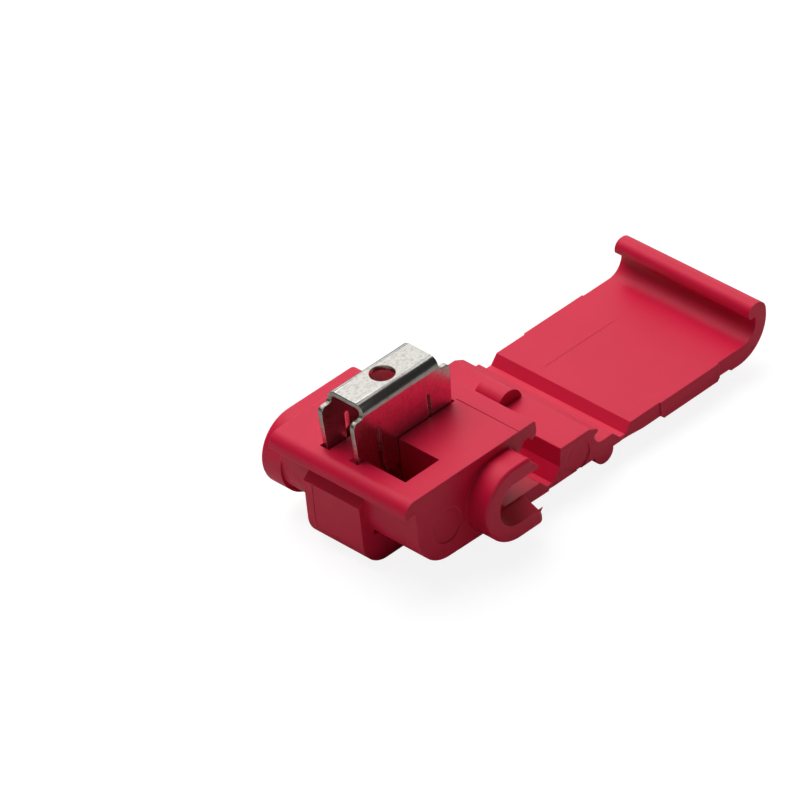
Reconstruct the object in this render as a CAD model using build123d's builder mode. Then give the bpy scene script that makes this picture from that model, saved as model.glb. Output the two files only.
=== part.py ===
"""Tap splice connector for insulated wire, cover open.

A polypropylene moulding of three stiff pieces on two living hinges: the housing
with its two wire passages, the flap that shuts the run wire in, and the cover
that hooks over the housing. A tin-plated brass U stands raised in the housing.

+X runs from the housing to the cover, Y along the wires, +Z up. The origin is
under the middle of the bounding box. Sizes are in millimetres. Reaches are
measured along X from the first fold line, or from the second for the cover.
"""

import os
from math import radians, tan

from build123d import *

os.makedirs("parts", exist_ok=True)

# Wires that the connector takes
run_radius = 2.15
tap_radius = 2.10
wire_pitch = 6.0
wire_height = 5.4

# Moulding in general
body_width = 16.7
leaf_setback = 0.15
edge_radius = 0.12
collar_depth = 2.5
collar_edge = 0.3

# Living hinges, whose fold lines run along Y at the top of a thin film
film_thickness = 0.42
film_half = 0.3
v_angle = 47.0
skin_height = 1.98

# Housing
lip_reach = 17.0
lip_overhang = 1.2
lip_thickness = 1.45
lip_radius = 1.3
heel_radius = 3.4
heel_rise = 0.35
roof_thickness = 2.45
strap_rise = 0.15
run_reach = 6.3
arm_setback = 1.12
arm_lead = 0.3
arm_nose = 0.45
arm_corner = 0.3
catch_slope_reach = 3.77
catch_rise = 1.2

# Belly, the deep block under the contact
belly_length = 6.8
belly_stand_out = 0.74
belly_rear_reach = 1.1
belly_radius = 2.6
belly_ledge_fall = 0.77
belly_ledge_drop = 1.2
belly_overlap = 0.7
scallop_reach = 8.87
scallop_half_width = 1.45
scallop_depth = 0.73

# Collars round the wire mouths
collar_radius = 3.7
collar_arm_reach = 4.15
tap_mouth_radius = 0.35
tap_depth = 17.05
keeper_arm_reach = 3.3
keeper_arm_thickness = 1.6
keeper_tip_radius = 0.7
exit_drop = 1.0

# Wire flap
flap_height = 2.9
flap_front = 1.66
flap_front_rise = 1.13
flap_back_rise = 0.9
barb_slope = 1.05
barb_drop = 0.75
barb_hook = 0.5
barb_root_rise = 1.9
barb_radius = 0.5
hollow_radius = 0.85
rib_past_barb = 0.5
rib_radius = 1.14
presser_rise = 0.6
presser_radius = 1.5
presser_height = 1.3
presser_clearance = 0.2
latch_gap = 0.15

# Cover
cover_rise = 0.85
cover_gap = 0.1
cover_skin = 0.62
hook_run = 1.22
hook_skin = 0.87
hook_gap = 0.15
hook_wall = 1.35
hook_head = 1.3
hook_nose = 0.8
outer_bend_share = 0.75
inner_bend_share = 0.85
nose_edge_share = 0.25
bead_share = 0.7
crown_share = 0.8
snap_gap = 0.1
band_start = 4.7
band_length = 7.4
band_rise = 0.3

# Contact
sheet = 0.5
contact_y = 1.4
leg_spread = 4.4
bend_radius = 1.0
shoulder_length = 11.6
neck_step = 1.25
tip_taper = 0.35
leg_past_wire = 0.65
neck_depth = 1.25
shoulder_depth = 2.3
contact_travel = 4.8
jaw_width = 0.45
jaw_depth = 3.05
jaw_end_radius = 0.2
jaw_mouth = 1.2
jaw_mouth_depth = 0.8
hole_radius = 1.13

# Openings for the contact
slot_clearance = 0.1
floor_gap = 0.1
pocket_length = 4.1
pocket_end_wall = 2.5

# Ejector marks and the fine lines that mould inserts leave
mark_depth = 0.1
tap_mark_radius = 1.7
flap_mark_radius = 1.45
line_width = 0.12
line_depth = 0.06
plate_line_reach = 3.2
belly_line_inset = 1.1

# Heights that follow from the sizes
channel_top = wire_height + run_radius
strap_top = wire_height - run_radius + strap_rise
top_height = channel_top + roof_thickness
lip_underside = top_height - lip_thickness
fold_z = skin_height + film_thickness

# Contact sizes that follow: pressed home, its tips pass under both wires
web_length = shoulder_length - 2 * neck_step
tip_length = shoulder_length - 2 * tip_taper
contact_height = top_height + sheet - (wire_height - run_radius - leg_past_wire)
slot_lead = bend_radius - sheet - slot_clearance

# The closed cover lies over the pressed contact, which sets the flap's length
closed_fold_z = top_height + sheet + cover_gap + cover_rise
fold_pitch = closed_fold_z - fold_z

# The flap's barb clips behind the catch over the wire channel, and its rib and
# presser keep their places by the barb and the wire
catch_z = channel_top + catch_rise
barb_reach = catch_z - latch_gap - fold_z
barb_root_reach = barb_reach - barb_hook
rib_reach = barb_reach + rib_past_barb
presser_reach = wire_height - fold_z + presser_rise

# Places along X and Y
cover_reach = fold_pitch + lip_reach + hook_gap + hook_wall
fold_x = (lip_reach - cover_reach) / 2
second_fold_x = fold_x + fold_pitch
run_x = fold_x - run_reach
tap_x = run_x - wire_pitch
contact_x = (run_x + tap_x) / 2
lip_x = fold_x - lip_reach
wall_x = lip_x + lip_overhang
half_width = body_width / 2
half_leaf = half_width - leaf_setback
leg_half = leg_spread / 2
leg_inner = leg_half - sheet


def v_run(rise):
    """How far a V-notch side leans back over a rise."""
    return rise / tan(radians(v_angle))


def section(y):
    """Plane across the wires at y, with X to the right and Z up."""
    return Plane.XZ.offset(-y)


def outline(*corners):
    """Closed face from corners given as x, z and the corner's radius."""
    with BuildLine() as edge:
        FilletPolyline(
            [(x, z) for x, z, _ in corners],
            radius=[radius for _, _, radius in corners],
            close=True,
        )
    make_face(edge.edges())


def film(name, x):
    """Thin web along one fold line."""
    with BuildPart() as web:
        with BuildSketch(section(half_leaf)):
            with Locations((x, fold_z)):
                Rectangle(2 * film_half, film_thickness, align=(Align.CENTER, Align.MAX))
        extrude(amount=2 * half_leaf)
    web.part.label = name
    export_step(web.part, f"parts/{name}.step")


# Housing section: strap below, wire channel open to +X, roof with its catch, lip and wall
strap_end = fold_x - film_half
catch_x = fold_x - flap_height + barb_drop + latch_gap
nub_x = fold_x - barb_root_rise + latch_gap
nub_z = fold_z + barb_root_reach + latch_gap
arm_end = fold_x - arm_setback
slope_x = fold_x - catch_slope_reach

belly_front = wall_x - belly_stand_out
belly_rear = fold_x - belly_rear_reach
belly_root = skin_height + heel_rise + belly_overlap
belly_ledge = lip_underside - belly_ledge_drop
belly_ledge_front = belly_ledge - belly_ledge_fall
belly_inner = wall_x + belly_overlap
scallop_radius = (scallop_half_width**2 + scallop_depth**2) / (2 * scallop_depth)

collar_arm = fold_x - collar_arm_reach
keeper_tip = fold_x - keeper_arm_reach
keeper_bottom = wire_height - collar_radius
keeper_top = keeper_bottom + keeper_arm_thickness

slot_width = sheet + 2 * slot_clearance
slot_length = shoulder_length + 2 * slot_clearance
slot_floor = top_height + sheet - contact_height - floor_gap
leg_centre = leg_half - sheet / 2
pocket_start = -half_width + pocket_end_wall
pocket_end = contact_y - leg_half

with BuildPart() as housing:
    with BuildSketch(section(half_width)):
        outline(
            (strap_end, skin_height, 0),
            (strap_end, fold_z, 0),
            (strap_end - v_run(strap_top - fold_z), strap_top, edge_radius),
            (run_x, strap_top, 0),
            (run_x, channel_top, 0),
            (slope_x, channel_top, edge_radius),
            (slope_x + catch_z - channel_top, catch_z, edge_radius),
            (catch_x, catch_z, 0),
            (nub_x, nub_z, edge_radius / 2),
            (arm_end - edge_radius, nub_z + arm_lead, edge_radius),
            (arm_end, nub_z + arm_lead + arm_nose, edge_radius),
            (arm_end, top_height, arm_corner),
            (lip_x, top_height, lip_radius),
            (lip_x, lip_underside, edge_radius),
            (wall_x, lip_underside, edge_radius),
            (wall_x, skin_height + heel_rise, heel_radius),
        )
    extrude(amount=body_width)

    # Belly under the contact, with the scallop across its underside
    with BuildSketch(section(contact_y + belly_length / 2)):
        outline(
            (belly_front, 0, belly_radius),
            (belly_rear, 0, belly_radius),
            (belly_rear, belly_root, 0),
            (belly_inner, belly_root, 0),
            (belly_inner, belly_ledge, 0),
            (wall_x, belly_ledge, 0),
            (belly_front, belly_ledge_front, edge_radius),
        )
        with Locations((fold_x - scallop_reach, scallop_depth - scallop_radius)):
            Circle(scallop_radius, mode=Mode.SUBTRACT)
    extrude(amount=belly_length)

    # Collar round both wires on the tap side
    with BuildSketch(section(half_width + collar_depth)) as tap_collar:
        with Locations((tap_x, wire_height)):
            Circle(collar_radius)
            Rectangle(
                collar_arm - tap_x,
                2 * collar_radius,
                align=(Align.MIN, Align.CENTER),
            )
        fillet(tap_collar.vertices().group_by(Axis.X)[-1], 2 * collar_edge)
    extrude(amount=collar_depth)
    fillet(housing.faces().sort_by(Axis.Y)[-1].edges(), collar_edge)

    # Keeper collar round the run wire on the far side, with its arm under the wire
    with BuildSketch(section(-half_width)):
        with Locations((run_x, wire_height)):
            Circle(collar_radius)
        outline(
            (run_x, wire_height, 0),
            (collar_arm, wire_height, 0),
            (collar_arm, wire_height + collar_radius, 2 * collar_edge),
            (run_x, wire_height + collar_radius, 0),
        )
        with Locations((run_x, keeper_bottom)):
            Rectangle(keeper_tip - run_x, keeper_arm_thickness, align=Align.MIN)
    extrude(amount=collar_depth)
    keeper_face = housing.faces().sort_by(Axis.Y)[0]
    fillet(keeper_face.edges().filter_by(Axis.Z).sort_by(Axis.X)[-1], keeper_tip_radius)
    fillet(housing.faces().sort_by(Axis.Y)[0].edges(), collar_edge)

    # Run channel, open towards the flap
    with BuildSketch(section(half_width + collar_depth)):
        with Locations((run_x, wire_height)):
            Circle(run_radius)
    extrude(amount=body_width + 2 * collar_depth, mode=Mode.SUBTRACT)
    with BuildSketch(section(half_width + collar_depth)):
        with Locations((run_x, wire_height)):
            Rectangle(run_reach, 2 * run_radius, align=(Align.MIN, Align.CENTER))
    extrude(amount=collar_depth, mode=Mode.SUBTRACT)
    with BuildSketch(section(-half_width)):
        with Locations((run_x, keeper_top)):
            Rectangle(run_reach, channel_top - keeper_top, align=Align.MIN)
    extrude(amount=collar_depth, mode=Mode.SUBTRACT)

    # Blind bore for the tap wire
    with BuildSketch(section(half_width + collar_depth)):
        with Locations((tap_x, wire_height)):
            Circle(tap_radius)
    extrude(amount=tap_depth, mode=Mode.SUBTRACT)
    mouth = housing.faces().sort_by(Axis.Y)[-1].inner_wires()[0]
    fillet(mouth.edges(), tap_mouth_radius)

    # Ramp that lets the run wire leave the keeper collar at a slant
    with BuildSketch(section(-half_width)):
        with Locations((run_x, wire_height)):
            Circle(run_radius)
            Rectangle(run_reach, 2 * run_radius, align=(Align.MIN, Align.CENTER))
    extrude(
        amount=collar_depth + edge_radius,
        dir=(0, -collar_depth, -exit_drop),
        mode=Mode.SUBTRACT,
    )

    # Pocket where the tap wire's end is seen, and leg slots with a lead-in at the bends
    with BuildSketch(Plane.XY.offset(top_height)):
        with Locations((tap_x, pocket_start)):
            Rectangle(pocket_length, pocket_end - pocket_start, align=(Align.CENTER, Align.MIN))
    extrude(amount=wire_height - top_height, mode=Mode.SUBTRACT)
    with BuildSketch(Plane.XY.offset(top_height)):
        with Locations((contact_x, contact_y)):
            with GridLocations(0, 2 * leg_centre, 1, 2):
                Rectangle(slot_length, slot_width)
    extrude(amount=slot_floor - top_height, mode=Mode.SUBTRACT)
    rim = housing.edges().filter_by(Axis.X).filter_by_position(Axis.Z, top_height, top_height)
    chamfer(rim.filter_by_position(Axis.Y, contact_y - leg_inner, contact_y + leg_inner), slot_lead)

    # Fine lines round the mould inserts, on the top plate and on the belly's front
    with BuildSketch(Plane.XY.offset(top_height)):
        with Locations((fold_x - plate_line_reach, -half_width)):
            Rectangle(line_width, half_width + pocket_end, align=Align.MIN)
    extrude(amount=-line_depth, mode=Mode.SUBTRACT)
    with BuildSketch(Plane.YZ.offset(belly_front)):
        with Locations((contact_y + belly_length / 2 - belly_line_inset, 0)):
            Rectangle(line_width, belly_ledge_front, align=Align.MIN)
    extrude(amount=line_depth, mode=Mode.SUBTRACT)

    # Ejector mark on the far end, in line with the tap wire
    with BuildSketch(section(-half_width + mark_depth)):
        with Locations((tap_x, wire_height)):
            Circle(tap_mark_radius)
    extrude(amount=mark_depth, mode=Mode.SUBTRACT)

housing.part.label = "housing"
export_step(housing.part, "parts/housing.step")

film("flap_hinge_film", fold_x)
film("cover_hinge_film", second_fold_x)

# Wire flap: barbed edge that clips under the roof, half-round rib outside, presser inside
flap_start = fold_x + film_half
flap_end = second_fold_x - film_half
flap_top = fold_z + flap_height
barb_x = fold_x + barb_reach
barb_root_x = fold_x + barb_root_reach

with BuildPart() as wire_flap:
    with BuildSketch(section(half_leaf)):
        outline(
            (flap_start, skin_height, 0),
            (flap_start, fold_z, 0),
            (flap_start + v_run(flap_front_rise), fold_z + flap_front_rise, edge_radius),
            (fold_x + flap_front, flap_top, edge_radius),
            (barb_x - barb_slope, flap_top, barb_radius),
            (barb_x, flap_top - barb_slope / 2, edge_radius),
            (barb_x, flap_top - barb_drop, edge_radius / 2),
            (barb_root_x, fold_z + barb_root_rise, edge_radius / 2),
            (barb_root_x, fold_z + flap_back_rise, hollow_radius),
            (flap_end - v_run(flap_back_rise), fold_z + flap_back_rise, edge_radius),
            (flap_end, fold_z, 0),
            (flap_end, skin_height, 0),
        )
        with Locations((fold_x + rib_reach, skin_height)):
            Circle(rib_radius)
    extrude(amount=2 * half_leaf)
    with BuildSketch(section(contact_y + leg_inner - presser_clearance)):
        with Locations((fold_x + presser_reach, flap_top + presser_height - presser_radius)):
            Circle(presser_radius)
    extrude(amount=2 * (leg_inner - presser_clearance))
    with BuildSketch(section(-half_leaf + mark_depth)):
        with Locations((fold_x + presser_reach, fold_z + flap_front_rise - edge_radius)):
            Circle(flap_mark_radius)
    extrude(amount=mark_depth, mode=Mode.SUBTRACT)

wire_flap.part.label = "wire_flap"
export_step(wire_flap.part, "parts/wire_flap.step")

# Cover: plate, and a curled end whose nose catches under the housing's lip
cover_start = second_fold_x + film_half
cover_inside = fold_z + cover_rise
cover_outside = fold_z - cover_skin
hook_outside = fold_z - hook_skin
hook_inner = second_fold_x + lip_reach + hook_gap
hook_outer = hook_inner + hook_wall
catch_height = fold_z + closed_fold_z - lip_underside + snap_gap
head_top = catch_height + hook_head
nose_x = hook_inner - hook_nose
inner_bend = inner_bend_share * (catch_height - cover_inside)
outer_bend = outer_bend_share * (head_top - hook_outside)
hook_zone_x = hook_outer - outer_bend - hook_run
nose_edge = nose_edge_share * hook_head
bead_radius = bead_share * hook_head
crown_radius = crown_share * hook_wall
band_x = second_fold_x + band_start
band_outside = cover_outside - band_rise

with BuildPart() as cover:
    with BuildSketch(section(half_leaf)):
        outline(
            (cover_start, skin_height, 0),
            (cover_start, fold_z, 0),
            (cover_start + v_run(cover_rise), cover_inside, edge_radius),
            (hook_inner, cover_inside, inner_bend),
            (hook_inner, catch_height, 0),
            (nose_x, catch_height, nose_edge),
            (nose_x, head_top, bead_radius),
            (hook_outer, head_top, crown_radius),
            (hook_outer, hook_outside, outer_bend),
            (hook_zone_x + band_rise, hook_outside, 0),
            (hook_zone_x, cover_outside, 0),
            ((cover_start + band_x) / 2, cover_outside, 0),
            (cover_start + film_half, skin_height, 0),
        )
    extrude(amount=2 * half_leaf)

    # Raised band across the outside, flush with the housing's ends
    with BuildSketch(section(half_width)):
        outline(
            (band_x, cover_inside, 0),
            (band_x, cover_outside, 0),
            (band_x + band_rise, band_outside, 0),
            (band_x + band_length - band_rise, band_outside, 0),
            (band_x + band_length, cover_outside, 0),
            (band_x + band_length, cover_inside, 0),
        )
    extrude(amount=body_width)

cover.part.label = "cover"
export_step(cover.part, "parts/cover.step")

# Contact: a stamped U of sheet with a wire jaw at each wire in each leg
web_top = top_height + sheet + contact_travel
tips_z = web_top - contact_height

with BuildPart() as u_contact:
    with BuildSketch(Plane.YZ.offset(contact_x - shoulder_length / 2)) as bent:
        with Locations((contact_y, web_top)):
            Rectangle(leg_spread, contact_height, align=(Align.CENTER, Align.MAX))
        fillet(bent.vertices().group_by(Axis.Y)[-1], bend_radius)
        with BuildSketch(mode=Mode.SUBTRACT) as hollow:
            with Locations((contact_y, web_top - sheet)):
                Rectangle(2 * leg_inner, contact_height, align=(Align.CENTER, Align.MAX))
            fillet(hollow.vertices().group_by(Axis.Y)[-1], bend_radius - sheet)
    extrude(amount=shoulder_length)

    # Side shape: narrow web, wider legs, slightly tapered to the tips
    with BuildSketch(section(contact_y + leg_spread)):
        outline(
            (contact_x - tip_length / 2, tips_z, sheet),
            (contact_x + tip_length / 2, tips_z, sheet),
            (contact_x + shoulder_length / 2, web_top - shoulder_depth, 2 * sheet),
            (contact_x + shoulder_length / 2, web_top - neck_depth, sheet),
            (contact_x + web_length / 2, web_top - neck_depth, sheet),
            (contact_x + web_length / 2, web_top, edge_radius),
            (contact_x - web_length / 2, web_top, edge_radius),
            (contact_x - web_length / 2, web_top - neck_depth, sheet),
            (contact_x - shoulder_length / 2, web_top - neck_depth, sheet),
            (contact_x - shoulder_length / 2, web_top - shoulder_depth, 2 * sheet),
        )
    extrude(amount=2 * leg_spread, mode=Mode.INTERSECT)

    # Wire jaws, flared at the tips
    with BuildSketch(section(contact_y + leg_spread)):
        for x in (tap_x, run_x):
            outline(
                (x - jaw_mouth / 2, tips_z, 0),
                (x - jaw_width / 2, tips_z + jaw_mouth_depth, 0),
                (x - jaw_width / 2, web_top - jaw_depth, jaw_end_radius),
                (x + jaw_width / 2, web_top - jaw_depth, jaw_end_radius),
                (x + jaw_width / 2, tips_z + jaw_mouth_depth, 0),
                (x + jaw_mouth / 2, tips_z, 0),
            )
    extrude(amount=2 * leg_spread, mode=Mode.SUBTRACT)
    with Locations(Plane.XY.offset(web_top)):
        with Locations((contact_x, contact_y)):
            Hole(hole_radius, depth=2 * sheet)

u_contact.part.label = "u_contact"
export_step(u_contact.part, "parts/u_contact.step")
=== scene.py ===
"""Looks of the tap splice connector: red moulded polypropylene and a tin-plated contact."""
from math import atan, cos, radians, sin

import bmesh
import bpy
from mathutils import Matrix, Vector


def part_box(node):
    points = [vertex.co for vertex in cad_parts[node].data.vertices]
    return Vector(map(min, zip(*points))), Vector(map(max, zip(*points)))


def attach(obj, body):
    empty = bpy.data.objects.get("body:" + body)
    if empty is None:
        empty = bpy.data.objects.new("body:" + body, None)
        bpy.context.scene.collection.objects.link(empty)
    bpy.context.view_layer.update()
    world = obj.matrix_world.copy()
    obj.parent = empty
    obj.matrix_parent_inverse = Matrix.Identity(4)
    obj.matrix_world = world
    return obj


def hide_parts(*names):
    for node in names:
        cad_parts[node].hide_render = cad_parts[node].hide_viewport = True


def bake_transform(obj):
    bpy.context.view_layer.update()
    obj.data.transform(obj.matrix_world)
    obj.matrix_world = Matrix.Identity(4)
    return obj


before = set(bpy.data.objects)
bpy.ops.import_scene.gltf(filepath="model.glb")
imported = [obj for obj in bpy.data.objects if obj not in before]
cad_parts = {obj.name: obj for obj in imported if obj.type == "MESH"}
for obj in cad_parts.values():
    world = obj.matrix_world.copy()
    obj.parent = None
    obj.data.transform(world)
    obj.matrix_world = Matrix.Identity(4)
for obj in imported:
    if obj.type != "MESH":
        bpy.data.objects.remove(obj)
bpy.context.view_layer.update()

# Housing: injection-moulded polypropylene, dyed red through. The mould was lightly
# spark-eroded and then wiped smooth, so the faces are satin. The rims carry a painted
# highlight: a paler red is mixed in where the edges round over.
MM = 0.001
RED = "#C8123A"
# Painted highlight: the paler red that is painted on the rims.
RED_DEEP = "#BC1035"
RED_RIM_HIGHLIGHT = "#D9405A"
POLYPROPYLENE_IOR = 1.49
SATIN_LOW = 0.34
SATIN_HIGH = 0.44
FLOW = 5.0 * MM
FLOW_HEIGHT = 0.02 * MM
GRAIN = 0.16 * MM
GRAIN_HEIGHT = 0.007 * MM
GLOW_DEPTH = 0.5 * MM
RIM_RADIUS = 0.09 * MM
# How much of the painted rim highlight the sharpest rims get.
RIM_HIGHLIGHT_SHARE = 0.55
COSINE_AT_FLAT = 0.995
COSINE_AT_RIM = 0.85


def linear(colour):
    """Linear colour from an sRGB hex value."""
    parts = [int(colour[i:i + 2], 16) / 255 for i in (1, 3, 5)]
    return [c / 12.92 if c <= 0.04045 else ((c + 0.055) / 1.055) ** 2.4 for c in parts] + [1]


def add_node(tree, kind, settings=None, links=None):
    """A new node with its settings and the outputs that feed its inputs."""
    node = tree.nodes.new(kind)
    for name, value in (settings or {}).items():
        if isinstance(name, str) and hasattr(node, name):
            setattr(node, name, value)
        else:
            node.inputs[name].default_value = value
    for name, output in (links or {}).items():
        tree.links.new(output, node.inputs[name])
    return node


def new_material(name):
    """An empty node material and its output node."""
    material = bpy.data.materials.new(name)
    material.use_nodes = True
    material.node_tree.nodes.clear()
    output = add_node(material.node_tree, "ShaderNodeOutputMaterial")
    return material, material.node_tree, output


def moulded_polypropylene(name, colour, deep, rim_highlight):
    """Satin dyed polypropylene: a faint flow pattern, fine grain and a painted highlight of paler
    red on the rims.
    """
    material, tree, output = new_material(name)
    place = add_node(tree, "ShaderNodeTexCoord").outputs["Object"]
    flow = add_node(
        tree, "ShaderNodeTexNoise",
        {"Scale": 1 / FLOW, "Detail": 3.0, "Roughness": 0.55}, {"Vector": place},
    )
    grain = add_node(
        tree, "ShaderNodeTexNoise",
        {"Scale": 1 / GRAIN, "Detail": 2.0, "Roughness": 0.6}, {"Vector": place},
    )
    base = add_node(
        tree, "ShaderNodeMix",
        {"data_type": "RGBA", 6: linear(colour), 7: linear(deep)}, {0: flow.outputs["Fac"]},
    )
    rounded = add_node(tree, "ShaderNodeBevel", {"samples": 6, "Radius": RIM_RADIUS})
    flat = add_node(tree, "ShaderNodeNewGeometry").outputs["True Normal"]
    agree = add_node(
        tree, "ShaderNodeVectorMath", {"operation": "DOT_PRODUCT"},
        {0: rounded.outputs["Normal"], 1: flat},
    )
    # Painted highlight: the paler rim red is mixed in where the rounded normal leaves the flat
    # one.
    highlight_at_rim = add_node(
        tree, "ShaderNodeMapRange",
        {"From Min": COSINE_AT_FLAT, "From Max": COSINE_AT_RIM, "To Max": RIM_HIGHLIGHT_SHARE},
        {"Value": agree.outputs["Value"]},
    )
    with_rim_highlight = add_node(
        tree, "ShaderNodeMix", {"data_type": "RGBA", 7: linear(rim_highlight)},
        {0: highlight_at_rim.outputs["Result"], 6: base.outputs[2]},
    )
    gloss = add_node(
        tree, "ShaderNodeMapRange", {"To Min": SATIN_LOW, "To Max": SATIN_HIGH},
        {"Value": flow.outputs["Fac"]},
    )
    waves = add_node(
        tree, "ShaderNodeBump", {"Strength": 0.5, "Distance": FLOW_HEIGHT},
        {"Height": flow.outputs["Fac"], "Normal": rounded.outputs["Normal"]},
    )
    relief = add_node(
        tree, "ShaderNodeBump", {"Strength": 0.6, "Distance": GRAIN_HEIGHT},
        {"Height": grain.outputs["Fac"], "Normal": waves.outputs["Normal"]},
    )
    shader = add_node(
        tree, "ShaderNodeBsdfPrincipled",
        {
            "IOR": POLYPROPYLENE_IOR, "Specular IOR Level": 0.32, "Subsurface Weight": 0.08,
            "Subsurface Radius": (1.0, 0.12, 0.14), "Subsurface Scale": GLOW_DEPTH,
        },
        {
            "Base Color": with_rim_highlight.outputs[2], "Roughness": gloss.outputs["Result"],
            "Normal": relief.outputs["Normal"],
        },
    )
    tree.links.new(shader.outputs["BSDF"], output.inputs["Surface"])
    return material


def finish_node(name, material):
    """Gives a CAD node its finish."""
    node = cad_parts[name]
    node.data.materials.clear()
    node.data.materials.append(material)


red_polypropylene = moulded_polypropylene("moulded_polypropylene_red", RED, RED_DEEP, RED_RIM_HIGHLIGHT)
finish_node("housing", red_polypropylene)

# Wire flap: part of the same shot of polypropylene, with its barbed edge, half-round rib
# and presser moulded on. Only the film of the first hinge joins it to the housing.
finish_node("wire_flap", red_polypropylene)

# Cover: the last leaf of the moulding. A slide in the mould leaves one hair-thin line
# of flash along its inner face, towards the tap side.
LINE_HALF = 0.025 * MM
LINE_RISE = 0.012 * MM
LINE_Y = 3.4 * MM
LINE_FROM_HINGE = 1.9 * MM
LINE_LENGTH = 9.0 * MM
COVER_PLATE_RISE = 0.85 * MM

finish_node("cover", red_polypropylene)


def new_object(name, data):
    """An object of the scene from a mesh, a lamp or a lens."""
    thing = bpy.data.objects.new(name, data)
    bpy.context.scene.collection.objects.link(thing)
    return thing


def mesh_object(name, shape, material):
    """An object from a bmesh, which it uses up, with its finish."""
    mesh = bpy.data.meshes.new(name)
    shape.to_mesh(mesh)
    shape.free()
    mesh.materials.append(material)
    return new_object(name, mesh)


def new_piece(name, shape, body, material):
    """A finished piece from a bmesh, riding on its body if it has just one."""
    piece = mesh_object(name, shape, material)
    if body:
        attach(piece, body)
    return piece


def slab(low, high):
    """A bmesh box between two corners."""
    shape = bmesh.new()
    bmesh.ops.create_cube(shape, size=1)
    size = Vector(high) - Vector(low)
    bmesh.ops.scale(shape, vec=size, verts=shape.verts)
    bmesh.ops.translate(shape, vec=Vector(low) + size / 2, verts=shape.verts)
    return shape


hinge_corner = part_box("cover_hinge_film")[1]
line_start = hinge_corner[0] + LINE_FROM_HINGE
plate_top = hinge_corner[2] + COVER_PLATE_RISE
flash = slab(
    (line_start, LINE_Y - LINE_HALF, plate_top - LINE_RISE),
    (line_start + LINE_LENGTH, LINE_Y + LINE_HALF, plate_top + LINE_RISE),
)
new_piece("cover_flash_line", flash, "cover", red_polypropylene)

# Living hinges: the moulding thins to a film at two V notches and is flexed while
# warm, which lines up its molecules and leaves a paler band.
FILM_STEPS = 14
FILM_ANCHOR = 0.15 * MM
FILM_SKIN = 0.01 * MM
FLEXED_RED = "#CF2A44"
# Painted highlight: the still paler red that is mixed in on the film's rims.
FLEXED_RIM_HIGHLIGHT = "#E8687A"

film_polypropylene = moulded_polypropylene("flexed_polypropylene_red", FLEXED_RED, RED, FLEXED_RIM_HIGHLIGHT)


def living_hinge(name, node):
    """A film that stands for its CAD node, cut into steps along its length and tied to no body."""
    low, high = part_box(node)
    inset = Vector((-FILM_ANCHOR, FILM_SKIN, FILM_SKIN))
    shape = slab(Vector(low) + inset, Vector(high) - inset)
    along = [e for e in shape.edges if abs(e.verts[0].co.x - e.verts[1].co.x) > FILM_ANCHOR]
    bmesh.ops.subdivide_edges(shape, edges=along, cuts=FILM_STEPS, use_grid_fill=True)
    film = new_piece(name, shape, None, film_polypropylene)
    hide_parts(node)
    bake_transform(film)


living_hinge("flap_living_hinge", "flap_hinge_film")
living_hinge("cover_living_hinge", "cover_hinge_film")

# Contact: a U stamped and bent from 0.5 mm sheet brass and then tin-plated. The flats
# show the rolling lines, and the sheared edges are bright where the punch burnished them.
TIN = "#E8E5DF"
TIN_DULL = "#C2BDB3"
SHEAR = "#E9E6DF"
SHEAR_TORN = "#B8AE9C"
ROLLING = 0.09 * MM
ROLLING_LENGTH = 4.0 * MM
ROLLING_HEIGHT = 0.004 * MM
SPECK = 0.35 * MM
POLISHED = 0.16
DULLED = 0.32
TEAR = 0.12 * MM
TEAR_LENGTH = 8 * TEAR
TEAR_HEIGHT = 0.006 * MM
WELD = 0.001 * MM
COPLANAR = radians(1)
SHARP = radians(35)
BURR_RADIUS = 0.055 * MM
EDGE_FACING = 0.8
EDGE_BELOW_WEB = 1.0 * MM
FLAT_AREA = 5.0 * MM * MM


def rolled_tin():
    """Tin plate over rolled brass, with fine lines along the strip and dull specks."""
    material, tree, output = new_material("tin_plated_brass_rolled")
    place = add_node(tree, "ShaderNodeTexCoord").outputs["Object"]
    stretched = add_node(
        tree, "ShaderNodeMapping",
        {"Scale": (1 / ROLLING, 1 / ROLLING, 1 / ROLLING_LENGTH)}, {"Vector": place},
    )
    lines = add_node(
        tree, "ShaderNodeTexNoise", {"Scale": 1.0, "Detail": 2.0},
        {"Vector": stretched.outputs["Vector"]},
    )
    specks = add_node(
        tree, "ShaderNodeTexNoise", {"Scale": 1 / SPECK, "Detail": 4.0, "Roughness": 0.7},
        {"Vector": place},
    )
    dull = add_node(
        tree, "ShaderNodeMapRange", {"From Min": 0.45, "From Max": 0.75},
        {"Value": specks.outputs["Fac"]},
    )
    colour = add_node(
        tree, "ShaderNodeMix", {"data_type": "RGBA", 6: linear(TIN), 7: linear(TIN_DULL)},
        {0: dull.outputs["Result"]},
    )
    rough = add_node(
        tree, "ShaderNodeMapRange", {"To Min": POLISHED, "To Max": DULLED},
        {"Value": specks.outputs["Fac"]},
    )
    relief = add_node(
        tree, "ShaderNodeBump", {"Strength": 0.35, "Distance": ROLLING_HEIGHT},
        {"Height": lines.outputs["Fac"]},
    )
    shader = add_node(
        tree, "ShaderNodeBsdfPrincipled", {"Metallic": 1.0},
        {
            "Base Color": colour.outputs[2], "Roughness": rough.outputs["Result"],
            "Normal": relief.outputs["Normal"],
        },
    )
    tree.links.new(shader.outputs["BSDF"], output.inputs["Surface"])
    return material


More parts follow.
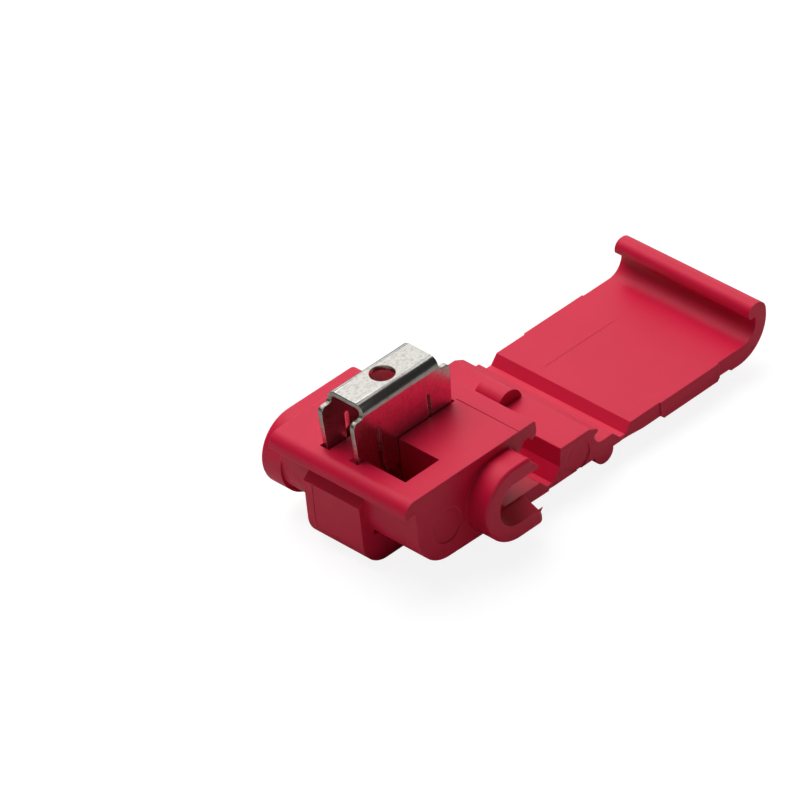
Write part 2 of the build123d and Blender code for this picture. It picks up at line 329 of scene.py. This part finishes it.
def sheared_edge():
    """Cut edge of the sheet: burnished, with torn streaks across its thickness."""
    material, tree, output = new_material("tin_plated_brass_sheared")
    place = add_node(tree, "ShaderNodeTexCoord").outputs["Object"]
    stretched = add_node(
        tree, "ShaderNodeMapping",
        {"Scale": (1 / TEAR, 1 / TEAR_LENGTH, 1 / TEAR)}, {"Vector": place},
    )
    torn = add_node(
        tree, "ShaderNodeTexNoise", {"Scale": 1.0, "Detail": 3.0},
        {"Vector": stretched.outputs["Vector"]},
    )
    share = add_node(
        tree, "ShaderNodeMapRange", {"From Min": 0.4, "From Max": 0.75},
        {"Value": torn.outputs["Fac"]},
    )
    colour = add_node(
        tree, "ShaderNodeMix", {"data_type": "RGBA", 6: linear(SHEAR), 7: linear(SHEAR_TORN)},
        {0: share.outputs["Result"]},
    )
    relief = add_node(
        tree, "ShaderNodeBump", {"Strength": 0.5, "Distance": TEAR_HEIGHT},
        {"Height": torn.outputs["Fac"]},
    )
    shader = add_node(
        tree, "ShaderNodeBsdfPrincipled", {"Metallic": 1.0, "Roughness": 0.33},
        {"Base Color": colour.outputs[2], "Normal": relief.outputs["Normal"]},
    )
    tree.links.new(shader.outputs["BSDF"], output.inputs["Surface"])
    return material


stamped = bmesh.new()
stamped.from_mesh(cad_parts["u_contact"].data)
bmesh.ops.remove_doubles(stamped, verts=stamped.verts, dist=WELD)
bmesh.ops.dissolve_limit(
    stamped, angle_limit=COPLANAR, use_dissolve_boundaries=False,
    verts=stamped.verts, edges=stamped.edges, delimit=set(),
)
bmesh.ops.recalc_face_normals(stamped, faces=stamped.faces)
sharp_edges = [e for e in stamped.edges if e.is_manifold and e.calc_face_angle() > SHARP]
bmesh.ops.bevel(
    stamped, geom=sharp_edges, offset=BURR_RADIUS, offset_type="OFFSET", segments=2,
    profile=0.5, affect="EDGES", clamp_overlap=True, material=-1,
)
web_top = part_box("u_contact")[1][2]
for face in stamped.faces:
    sideways = abs(face.normal.x) > EDGE_FACING
    low = face.calc_center_median().z < web_top - EDGE_BELOW_WEB
    upright = low and abs(face.normal.z) > EDGE_FACING
    face.material_index = int(sideways or upright)
    face.smooth = face.calc_area() < FLAT_AREA
contact = new_piece("stamped_contact", stamped, "u_contact", rolled_tin())
contact.data.materials.append(sheared_edge())
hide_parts("u_contact")

# Table: a white sweep under the connector. To the camera it is mostly white of its own,
# so it stays white and keeps a soft shadow. In the connector's gloss it is grey card.
TABLE_HALF = 0.6
TABLE_DROP = 0.01 * MM
TABLE_OWN_WHITE = 0.8
TABLE_GLOW = 1.1
CARD = "#ECECEC"
CARD_MIRRORED = "#848484"
WHITE = (1, 1, 1, 1)


def white_sweep():
    """Matt white card that the camera sees as white with a soft shadow."""
    material, tree, output = new_material("matt_white_card")
    ray = add_node(tree, "ShaderNodeLightPath")
    share = add_node(
        tree, "ShaderNodeMath", {"operation": "MULTIPLY", 1: TABLE_OWN_WHITE},
        {0: ray.outputs["Is Camera Ray"]},
    )
    tone = add_node(
        tree, "ShaderNodeMix", {"data_type": "RGBA", 6: linear(CARD), 7: linear(CARD_MIRRORED)},
        {0: ray.outputs["Is Glossy Ray"]},
    )
    card = add_node(tree, "ShaderNodeBsdfDiffuse", {}, {"Color": tone.outputs[2]})
    glow = add_node(tree, "ShaderNodeEmission", {"Color": WHITE, "Strength": TABLE_GLOW})
    both = add_node(
        tree, "ShaderNodeMixShader", {},
        {0: share.outputs["Value"], 1: card.outputs["BSDF"], 2: glow.outputs["Emission"]},
    )
    tree.links.new(both.outputs["Shader"], output.inputs["Surface"])
    return material


table_shape = bmesh.new()
bmesh.ops.create_grid(table_shape, x_segments=8, y_segments=8, size=TABLE_HALF)
bmesh.ops.translate(table_shape, vec=(0, 0, -TABLE_DROP), verts=table_shape.verts)
table = mesh_object("table", table_shape, white_sweep())

# Light: a softbox overhead with the ceiling's bounce, which nothing mirrors, a broad white
# panel behind that the top faces and the tin mirror, and a pale wall in front that is only
# mirrored. The room is dim, and darker in reflections, so the tin's bend is nearly black.
ROOM_LIGHT = 0.09
ROOM_MIRRORED = 0.025

world = bpy.data.worlds.new("studio_room")
world.use_nodes = True
room = world.node_tree
room.nodes.clear()
room_ray = add_node(room, "ShaderNodeLightPath")
room_level = add_node(
    room, "ShaderNodeMapRange", {"To Min": ROOM_LIGHT, "To Max": ROOM_MIRRORED},
    {"Value": room_ray.outputs["Is Glossy Ray"]},
)
dim_walls = add_node(
    room, "ShaderNodeBackground", {"Color": WHITE}, {"Strength": room_level.outputs["Result"]}
)
white_backdrop = add_node(room, "ShaderNodeBackground", {"Color": WHITE, "Strength": 1.0})
surroundings = add_node(
    room, "ShaderNodeMixShader", {},
    {
        0: room_ray.outputs["Is Camera Ray"], 1: dim_walls.outputs["Background"],
        2: white_backdrop.outputs["Background"],
    },
)
add_node(room, "ShaderNodeOutputWorld", {}, {"Surface": surroundings.outputs["Shader"]})
bpy.context.scene.world = world


def area_lamp(name, towards, distance, size, power, lights=True, mirrored=True):
    """A square area lamp that faces the connector, and lights it, is mirrored in it or both."""
    lamp = bpy.data.lights.new(name, "AREA")
    lamp.shape = "SQUARE"
    lamp.size = size
    lamp.energy = power
    holder = new_object(name, lamp)
    direction = Vector(towards).normalized()
    turn = direction.to_track_quat("Z", "Y").to_matrix().to_4x4()
    holder.matrix_world = Matrix.Translation(direction * distance) @ turn
    holder.visible_diffuse = lights
    holder.visible_glossy = mirrored


area_lamp("softbox_overhead", towards=(-0.1, 0.4, 0.91), distance=0.45, size=0.5, power=0.45)
area_lamp(
    "ceiling_bounce", towards=(0.1, 0.44, 0.88), distance=0.45, size=0.4, power=2.3,
    mirrored=False,
)
area_lamp("panel_right_behind", towards=(0.54, 0.6, 0.5), distance=0.5, size=0.55, power=0.9)
area_lamp(
    "wall_in_front", towards=(-0.54, -0.66, 0.5), distance=0.6, size=0.7, power=0.7,
    lights=False,
)

# Camera: the photograph's three-quarter view from above, with the connector to the
# right of the frame's middle and the frame leaning a little.
AZIMUTH = radians(-42.24)
ELEVATION = radians(36.02)
LEAN = radians(-5.56)
DISTANCE = 676 * MM
PIXELS_PER_MM = 11.504
FRAME_PIXELS = 800
SENSOR_WIDTH = 36
NEAR_CLIP = 10 * MM
FAR_CLIP = 10
CENTRE = Vector((-0.145, 0.0, 5.0)) * MM
CENTRE_PIXEL = (521.5, 397.7)

back = Vector((sin(AZIMUTH) * cos(ELEVATION), -cos(AZIMUTH) * cos(ELEVATION), sin(ELEVATION)))
level_right = Vector((cos(AZIMUTH), sin(AZIMUTH), 0))
level_up = back.cross(level_right)
right = level_right * cos(LEAN) + level_up * sin(LEAN)
up = back.cross(right)
stand = Matrix((right, up, back)).transposed().to_4x4()
focal_pixels = PIXELS_PER_MM * DISTANCE / MM
yaw = atan((CENTRE_PIXEL[0] - FRAME_PIXELS / 2) / focal_pixels)
pitch = atan((CENTRE_PIXEL[1] - FRAME_PIXELS / 2) / focal_pixels)
lens = bpy.data.cameras.new("camera")
lens.sensor_fit = "HORIZONTAL"
lens.sensor_width = SENSOR_WIDTH
lens.lens = SENSOR_WIDTH * focal_pixels / FRAME_PIXELS
lens.clip_start = NEAR_CLIP
lens.clip_end = FAR_CLIP
camera = new_object("camera", lens)
aim = Matrix.Rotation(yaw, 4, "Y") @ Matrix.Rotation(pitch, 4, "X")
camera.matrix_world = Matrix.Translation(CENTRE + back * DISTANCE) @ stand @ aim
bpy.context.scene.camera = camera
bpy.context.scene.view_settings.view_transform = "Standard"
